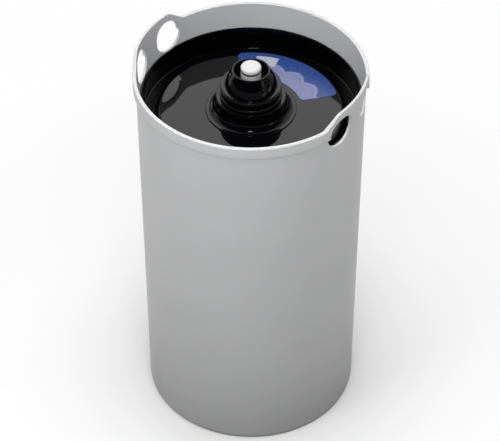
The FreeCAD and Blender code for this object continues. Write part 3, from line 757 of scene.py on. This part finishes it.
cone_foot = Vector((cone_radius, upper_ledge))
cone_head = Vector((nose_radius, nose_top - 0.001))
neck_mesh = turned(rounded([
    (shank_inner, shank_low, fine_round),
    (shank_radius, shank_low, edge_round),
    (shank_radius, plate_top),
    (flange_radius, plate_top),
    (flange_radius, flange_top, flange_round),
    (register_radius, flange_top, cove_round),
    (register_radius, lower_ledge, lower_ledge_round),
    (groove_radius, lower_ledge),
    (groove_radius, lower_ledge + groove_height),
    (land_radius, lower_ledge + groove_height, tiny_round),
    (land_radius, upper_groove - groove_height, tiny_round),
    (groove_radius, upper_groove - groove_height),
    (groove_radius, upper_groove),
    (land_radius, upper_groove, tiny_round),
    (land_radius, upper_ledge, fine_round),
    (cone_radius, upper_ledge),
    *bulged(cone_foot, cone_head, cone_bulge),
    (nose_radius, nose_top, nose_round),
    (nose_bore, nose_top, small_round),
    (nose_bore, bore_foot),
    (cone_inner, upper_ledge, edge_round),
    (cone_inner, guide_seat),
    (neck_inner, guide_seat),
    (neck_inner, shank_step, neck_inner_round),
    (shank_inner, shank_step - shank_inner + neck_inner, neck_inner_round),
], steps=8), 300)
neck = finished("neck", neck_mesh, crease=30)
neck_plastic = plastic(
    "neck_plastic", (0.0010, 0.0011, 0.0016), (0.0016, 0.0017, 0.0023), (0.04, 0.08),
    strength=0.006, gloss=0.3)
made_as(neck, "neck_spigot", "cartridge", neck_plastic)

# Nut. A castellated nut in glass-filled black plastic, screwed up the shank from below. It
# clamps the lid's plate between itself and the neck's flange.


def glass_fibres():
    """Group for glass-filled plastic: short fibres, and where one shows on the surface."""
    group, start, end = node_group("glass_fibres", ["Fibres"], ["Showing", "Height"])
    along = add(group, "Mapping", {
        "Vector": add(group, "TexCoord").outputs["Object"], "Rotation": (0.4, 0.7, 0.2),
        "Scale": (1.0, 9.0, 9.0)})
    fibres = add(group, "TexNoise", {
        "Vector": along.outputs["Vector"], "Scale": start.outputs["Fibres"], "Detail": 2.0})
    group.links.new(
        ranged(group, fibres.outputs["Fac"], 0.0, 1.0, 0.58, 0.7), end.inputs["Showing"])
    group.links.new(fibres.outputs["Fac"], end.inputs["Height"])
    return group


fibre_group = glass_fibres()


def glass_filled(name, colour, fleck, roughness):
    """Dark plastic with short glass fibres that show as thin paler flecks."""
    material, tree, shader = new_material(name)
    fibres = add(tree, "Group", {"Fibres": 420.0}, node_tree=fibre_group)
    tree.links.new(
        blend(tree, fibres.outputs["Showing"], colour, fleck), shader.inputs["Base Color"])
    tree.links.new(
        ranged(tree, fibres.outputs["Height"], *roughness), shader.inputs["Roughness"])
    relief(tree, shader, fibres.outputs["Height"], 0.15, 0.00008)
    return material


dress("neck_lock_nut", glass_filled(
    "nut_plastic", (0.010, 0.010, 0.011), (0.030, 0.030, 0.032), (0.42, 0.62)))

# Valve. A ported guide under the neck carries the white pin, and a coupling closes its
# chamber, holds the riser's end and seats the spring that lifts the pin.

valve_plastic = glass_filled(
    "valve_plastic", (0.020, 0.020, 0.022), (0.055, 0.055, 0.058), (0.38, 0.55))
dress("valve_guide", valve_plastic)
dress("riser_coupling", valve_plastic)

# Spring. Drawn stainless wire coiled to five turns. It stands on the coupling and bears on the
# pin's stop collar. The real spring shortens as the pin goes down; this coil keeps its length.

spring_low, spring_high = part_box("plunger_spring")
spring_turns = 5
steps_per_turn = 60
wire_radius = 0.00075
spring_length = spring_high.z - spring_low.z
coil = bmesh.new()
bmesh.ops.create_circle(coil, segments=20, radius=wire_radius, matrix=(
    Matrix.Translation((spring_high.x - wire_radius, 0, spring_low.z + wire_radius))
    @ Matrix.Rotation(math.pi / 2, 4, "X")))
bmesh.ops.spin(
    coil, geom=coil.verts[:] + coil.edges[:], cent=(0, 0, 0), axis=(0, 0, 1),
    dvec=(0, 0, (spring_length - 2 * wire_radius) / spring_turns / steps_per_turn),
    angle=math.tau * spring_turns, steps=spring_turns * steps_per_turn)
bmesh.ops.holes_fill(coil, edges=[edge for edge in coil.edges if edge.is_boundary])
bmesh.ops.recalc_face_normals(coil, faces=coil.faces)
spring = finished("coiled_wire", coil, crease=60)
made_as(spring, "plunger_spring", "cartridge", drawn_along(
    "spring_steel", (0.60, 0.60, 0.59), (0.50, 0.50, 0.50), (0.18, 0.34), 5000.0,
    metallic=1.0))
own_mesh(spring)

# Seals. O-rings in greased black rubber: two round the neck, one round the white pin, one
# under the flange, one under the lid's wall and one in the riser's joint. The valve's flat
# washer is cut from the same rubber.

seal_rubber = plastic(
    "seal_rubber", (0.006, 0.006, 0.0065), (0.011, 0.011, 0.012), (0.22, 0.42),
    grain=3200.0, flow=60.0, strength=0.1)


def o_ring(name, node, body):
    """A round ring that fills the CAD ring's box."""
    low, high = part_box(node)
    wire = (high.z - low.z) / 2
    section = bmesh.new()
    bmesh.ops.create_circle(section, segments=20, radius=wire, matrix=(
        Matrix.Translation((high.x - wire, 0, (high.z + low.z) / 2))
        @ Matrix.Rotation(math.pi / 2, 4, "X")))
    bmesh.ops.spin(
        section, geom=section.verts[:] + section.edges[:], cent=(0, 0, 0), axis=(0, 0, 1),
        angle=math.tau, steps=240, use_merge=True)
    bmesh.ops.recalc_face_normals(section, faces=section.faces)
    made_as(finished(name, section, crease=60), node, body, seal_rubber)


o_ring("upper_neck_ring", "neck_seal_upper", "cartridge")
o_ring("lower_neck_ring", "neck_seal_lower", "cartridge")
o_ring("flange_ring", "neck_gasket", "cartridge")
o_ring("lid_ring", "lid_seal_ring", "cartridge")
o_ring("riser_ring", "riser_seal_ring", "cartridge")
o_ring("pin_ring", "plunger_seal_ring", "plunger")
dress("valve_seal_washer", seal_rubber)

# Pin. The white plunger that the vessel's head pushes down: a dished head over its ring, six
# flutes that let the water by, and a stop collar inside the guide.

pin_low, pin_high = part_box("valve_plunger")
stop_radius = pin_high.x
pin_radius = 0.0093
pin_top = pin_high.z
pin_round = 0.0024
pin_ring_height = rim + 0.00325
pin_groove_half = 0.00105
pin_groove_depth = 0.00195
pin_groove_radius = pin_radius - pin_groove_depth
pin_groove_low = pin_ring_height - pin_groove_half
pin_groove_high = pin_ring_height + pin_groove_half
pin_groove_round = 0.0001
dish_rim_radius = 0.0052
dish_radius = 0.0042
dish_depth = 0.0006
dish_round = 0.0012
stop_top = rim - 0.0214
stop_low = stop_top - 0.0025
spigot_radius = 0.0072
spigot_round = 0.0008
flute_radius = 0.0019
flute_low = rim - 0.0196
flute_high = rim - 0.0041
flutes = 6
pin_mesh = turned(rounded([
    (0, pin_low.z),
    (spigot_radius, pin_low.z, spigot_round),
    (spigot_radius, stop_low),
    (stop_radius, stop_low, fine_round),
    (stop_radius, stop_top),
    (pin_radius, stop_top),
    (pin_radius, pin_groove_low, pin_groove_round),
    (pin_groove_radius, pin_groove_low),
    (pin_groove_radius, pin_groove_high),
    (pin_radius, pin_groove_high, fine_round),
    (pin_radius, pin_top, pin_round),
    (dish_rim_radius, pin_top, edge_round),
    (dish_radius, pin_top - dish_depth, dish_round),
    (0, pin_top - dish_depth),
], steps=8), 192)
pin = finished("pin", pin_mesh)
flute_cores = bmesh.new()
for index in range(flutes):
    angle = math.tau * index / flutes
    bmesh.ops.create_cone(
        flute_cores, cap_ends=True, segments=32, radius1=flute_radius, radius2=flute_radius,
        depth=flute_high - flute_low, matrix=Matrix.Translation((
            pin_radius * math.cos(angle), pin_radius * math.sin(angle),
            (flute_high + flute_low) / 2)))
carve(pin, finished("flute_cores", flute_cores))
pin_plastic = plastic(
    "pin_plastic", (0.70, 0.70, 0.695), (0.66, 0.66, 0.655), (0.28, 0.38), strength=0.05)
made_as(pin, "valve_plunger", "plunger", pin_plastic)

# Label. A printed film stuck on the plate, with round corners: a blue band over a lavender
# one with a scalloped border between them, and a pale panel for a date, ruled but empty.

film_low, film_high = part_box("label_film")
film_inner = 0.0465
film_outer = 0.0815
film_start = math.radians(40.5)
film_end = math.radians(126)
film_corner = 0.005
film_corner_steps = 8
border_radius = 0.0615
arch_height = 0.006
arch_rate = 8.4
hem_start, hem_end = -0.0022, -0.0015
panel_inner, panel_outer = 0.0635, 0.0765
panel_start, panel_end = math.radians(97), math.radians(113)
rule_spacing = 0.0033


def film_outline(steps=48):
    """Outline of the bent strip: two long arcs, with a small arc at each corner."""
    inner_turn = film_corner / (film_inner + film_corner)
    outer_turn = film_corner / (film_outer - film_corner)
    corners = [
        (film_outer - film_corner, film_end - outer_turn, 0.0),
        (film_inner + film_corner, film_end - inner_turn, 0.5),
        (film_inner + film_corner, film_start + inner_turn, 1.0),
        (film_outer - film_corner, film_start + outer_turn, 1.5),
    ]
    points = []
    for radius, angle, quarter in corners:
        middle = Vector((radius * math.cos(angle), radius * math.sin(angle)))
        for step in range(film_corner_steps + 1):
            turn = angle + math.pi * (quarter + step / film_corner_steps / 2)
            points.append(middle + Vector((math.cos(turn), math.sin(turn))) * film_corner)
        if quarter in (0.5, 1.5):
            reach = film_inner if quarter == 0.5 else film_outer
            first = film_end - inner_turn if quarter == 0.5 else film_start + outer_turn
            last = film_start + inner_turn if quarter == 0.5 else film_end - outer_turn
            for step in range(1, steps):
                bend = first + (last - first) * step / steps
                points.append(Vector((math.cos(bend), math.sin(bend))) * reach)
    return points


film_mesh = bmesh.new()
film_ring = [film_mesh.verts.new((point.x, point.y, film_low.z)) for point in film_outline()]
film_face = film_mesh.faces.new(film_ring)
lifted = bmesh.ops.extrude_face_region(film_mesh, geom=[film_face])
for item in lifted["geom"]:
    if isinstance(item, bmesh.types.BMVert):
        item.co.z = film_high.z
bmesh.ops.recalc_face_normals(film_mesh, faces=film_mesh.faces)
film = finished("printed_film", film_mesh)


def printed_film():
    """Print in two blues that follows the film's bend, under a clear glossy face."""
    material, tree, shader = new_material("printed_film")
    place = add(tree, "TexCoord").outputs["Object"]
    parts = add(tree, "SeparateXYZ", {0: place})

    def maths(operation, *values):
        return add(tree, "Math", dict(enumerate(values)), operation=operation).outputs[0]

    def above(value, level, soft=0.0002):
        return ranged(tree, value, 0.0, 1.0, level - soft, level + soft)

    def between(value, low, high, soft=0.0002):
        return maths("SUBTRACT", above(value, low, soft), above(value, high, soft))

    squares = maths("MULTIPLY", parts.outputs["X"], parts.outputs["X"])
    radius = maths("SQRT", maths(
        "MULTIPLY_ADD", parts.outputs["Y"], parts.outputs["Y"], squares))
    bend = maths("ARCTAN2", parts.outputs["Y"], parts.outputs["X"])
    arches = maths("ABSOLUTE", maths("SINE", maths("MULTIPLY", bend, arch_rate)))
    border = maths("MULTIPLY_ADD", arches, arch_height, border_radius)
    over = maths("SUBTRACT", radius, border)
    panel = maths(
        "MULTIPLY", between(radius, panel_inner, panel_outer),
        between(bend, panel_start, panel_end, 0.003))
    ruled = maths("SINE", maths("MULTIPLY", radius, math.tau / rule_spacing))
    grain = add(tree, "TexNoise", {"Vector": place, "Scale": 900.0, "Detail": 3.0})
    colour = blend(tree, above(over, 0.0), (0.155, 0.175, 0.342), (0.010, 0.044, 0.214))
    colour = blend(tree, between(over, hem_start, hem_end), colour, (0.30, 0.31, 0.47))
    colour = blend(tree, panel, colour, (0.42, 0.44, 0.52))
    colour = blend(
        tree, maths("MULTIPLY", above(ruled, 0.93, 0.04), panel), colour, (0.12, 0.14, 0.28))
    printed = add(tree, "VectorMath", {
        0: colour, "Scale": ranged(tree, grain.outputs["Fac"], 0.98, 1.02)}, operation="SCALE")
    tree.links.new(printed.outputs["Vector"], shader.inputs["Base Color"])
    tree.links.new(
        ranged(tree, grain.outputs["Fac"], 0.22, 0.32), shader.inputs["Roughness"])
    relief(tree, shader, grain.outputs["Fac"], 0.02, 0.00005)
    return material


made_as(film, "label_film", "cartridge", printed_film())

# Studio. A pale paper floor with painted shade round the part, under a white surround, soft
# lamps in front, at the left and overhead, and three lamps that only show as gloss: a box
# behind, a strip and a small glint.
# The camera's focal length and middle are in the photo's pixels.

floor_radius = 6.0
floor_mesh = bmesh.new()
bmesh.ops.create_circle(floor_mesh, cap_ends=True, segments=64, radius=floor_radius)
floor = finished("floor", floor_mesh)


def plain_sight(tree):
    """A value that is 1 where the camera, a gloss or a clear piece looks on."""
    rays = add(tree, "LightPath")
    looked = add(tree, "Math", {
        0: rays.outputs["Is Camera Ray"], 1: rays.outputs["Is Glossy Ray"]},
        operation="MAXIMUM")
    return add(tree, "Math", {
        0: looked.outputs[0], 1: rays.outputs["Is Transmission Ray"]},
        operation="MAXIMUM").outputs[0]


def studio_floor():
    """Pale matt paper with painted shade round the part: its glow turns it plain white further
    off but is weak near the part, and its bounce is painted dark near the part.
    """
    material = bpy.data.materials.new("studio_floor")
    material.use_nodes = True
    tree = material.node_tree
    tree.nodes.clear()
    seen = plain_sight(tree)
    place = add(tree, "TexCoord").outputs["Object"]
    fibres = add(tree, "TexNoise", {"Vector": place, "Scale": 300.0, "Detail": 3.0})
    bright = blend(tree, fibres.outputs["Fac"], (0.93, 0.93, 0.93), (0.95, 0.95, 0.95))
    away = add(tree, "VectorMath", {0: place}, operation="LENGTH").outputs["Value"]
    # Painted shade: the bounce is nearly black near the part and pale further off, so the
    # part's foot gets less light.
    bounce_with_painted_shade = blend(
        tree, ranged(tree, away, 0.0, 1.0, 0.15, 0.5), (0.04, 0.04, 0.04), (0.5, 0.5, 0.5))
    paper = add(tree, "BsdfDiffuse", {"Color": blend(tree, seen, bounce_with_painted_shade, bright)})
    glow = add(tree, "Emission", {"Strength": 1.0})
    # Painted shade: the glow that whitens the paper is weak near the part and full further
    # off, so the paper shows darker round the part.
    lift = add(tree, "Math", {
        0: seen, 1: ranged(tree, away, 0.0, 0.95, 0.1, 0.5)}, operation="MULTIPLY")
    mixed = add(tree, "MixShader", {0: lift.outputs[0], 1: paper.outputs[0],
                                    2: glow.outputs[0]})
    output = tree.nodes.new("ShaderNodeOutputMaterial")
    tree.links.new(mixed.outputs[0], output.inputs["Surface"])
    return material


floor.data.materials.append(studio_floor())

world = bpy.data.worlds.new("studio")
bpy.context.scene.world = world
world.use_nodes = True
sky = world.node_tree
sky.nodes.clear()
view_pitch = math.radians(42.28)
view_heading = math.radians(-63)
facing = add(sky, "TexCoord").outputs["Generated"]
behind = add(sky, "VectorMath", {
    0: facing, 1: (-math.cos(view_heading), -math.sin(view_heading), 0)},
    operation="DOT_PRODUCT")
backdrop = add(sky, "MapRange", {
    "Value": behind.outputs["Value"], "From Min": 0.1, "From Max": 0.5, "To Min": 0.01,
    "To Max": 1.0}, interpolation_type="SMOOTHSTEP")
glossy = add(sky, "LightPath").outputs["Is Glossy Ray"]
shown = add(sky, "Mix", {0: glossy, 2: 1.0, 3: backdrop.outputs["Result"]})
strength = add(sky, "Mix", {0: plain_sight(sky), 2: 0.34, 3: shown.outputs[0]})
surround = add(sky, "Background", {"Color": (1, 1, 1, 1), "Strength": strength.outputs[0]})
sky_output = sky.nodes.new("ShaderNodeOutputWorld")
sky.links.new(surround.outputs[0], sky_output.inputs["Surface"])


def around(heading, out, up):
    """A place at a heading in degrees from the view's, a distance out and a height."""
    angle = view_heading + math.radians(heading)
    return Vector((out * math.cos(angle), out * math.sin(angle), up))


def soft_light(name, place, target, size, power, seen="diffuse"):
    """An area light, wide and high, that faces its target. It lights or it mirrors."""
    data = bpy.data.lights.new(name, "AREA")
    data.shape = "RECTANGLE"
    data.size, data.size_y = size
    data.energy = power
    lamp = bpy.data.objects.new(name, data)
    lamp.location = place
    lamp.rotation_euler = (target - place).to_track_quat("-Z", "Y").to_euler()
    lamp.visible_glossy = seen == "glossy"
    lamp.visible_diffuse = seen == "diffuse"
    lamp.visible_transmission = False
    bpy.context.scene.collection.objects.link(lamp)


middle_of_part = Vector((0, 0, 0.2))
plate_middle = Vector((0, 0, plate_top))
soft_light("front", around(0, 0.65, 0.9), middle_of_part, (0.3, 0.3), 1.8)
soft_light("left", around(-50, 0.8, 0.9), middle_of_part, (0.3, 0.3), 1.5)
soft_light("overhead", around(0, 0.001, 4.0), middle_of_part, (2.5, 2.5), 94)
soft_light("back_box", around(180, 1.63, plate_top + 1.48), plate_middle, (1.2, 0.8), 3.7,
           seen="glossy")
soft_light("side_strip", around(60, 2.0, 0.9), plate_middle, (0.5, 1.2), 1.6, seen="glossy")
soft_light("glint", around(-5, 0.25, 1.3), plate_middle, (0.1, 0.1), 0.6, seen="glossy")

photo_width = 500
photo_focal = 2326
photo_middle = 251.0
view_distance = 2.207
aim = Vector((0, 0, rim - 0.1791))
camera_data = bpy.data.cameras.new("camera")
camera_data.sensor_width = 36
camera_data.lens = 36 * photo_focal / photo_width
camera_data.shift_x = (photo_width / 2 - photo_middle) / photo_width
camera_data.clip_end = 50
camera = bpy.data.objects.new("camera", camera_data)
camera.location = aim + around(
    0, view_distance * math.cos(view_pitch), view_distance * math.sin(view_pitch))
camera.rotation_euler = (aim - camera.location).to_track_quat("-Z", "Y").to_euler()
bpy.context.scene.collection.objects.link(camera)
bpy.context.scene.camera = camera
bpy.context.scene.view_settings.view_transform = "Standard"
